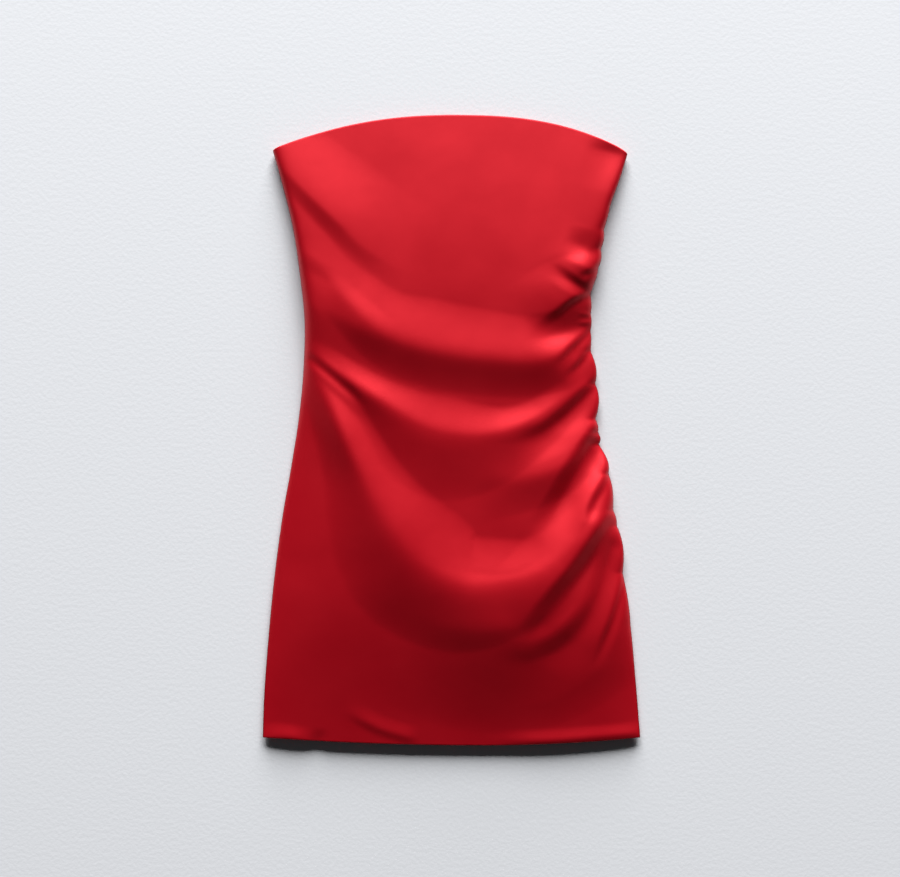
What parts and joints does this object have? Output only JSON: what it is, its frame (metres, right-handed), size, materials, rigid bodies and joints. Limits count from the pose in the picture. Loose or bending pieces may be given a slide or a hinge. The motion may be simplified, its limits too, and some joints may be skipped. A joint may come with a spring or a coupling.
{
  "type": "strapless dress",
  "caption": "Fitted strapless mini dress in satin, laid flat, gathered into one side seam so that its folds swing across the front.",
  "frame": {"origin": "under the middle of the dress's bounding box, on the surface that it lies on", "axes": "+X runs across the dress towards the gathered side seam, +Y runs up it towards the neckline, and +Z points up off the surface"},
  "size_m": [0.455, 0.7595, 0.0418],
  "materials": {
    "front_satin": "red satin, softly shiny",
    "back_satin": "red satin, softly shiny"
  },
  "bodies": {
    "root": {"front_panel": "front_satin", "back_panel": "back_satin"}
  },
  "joints": []
}
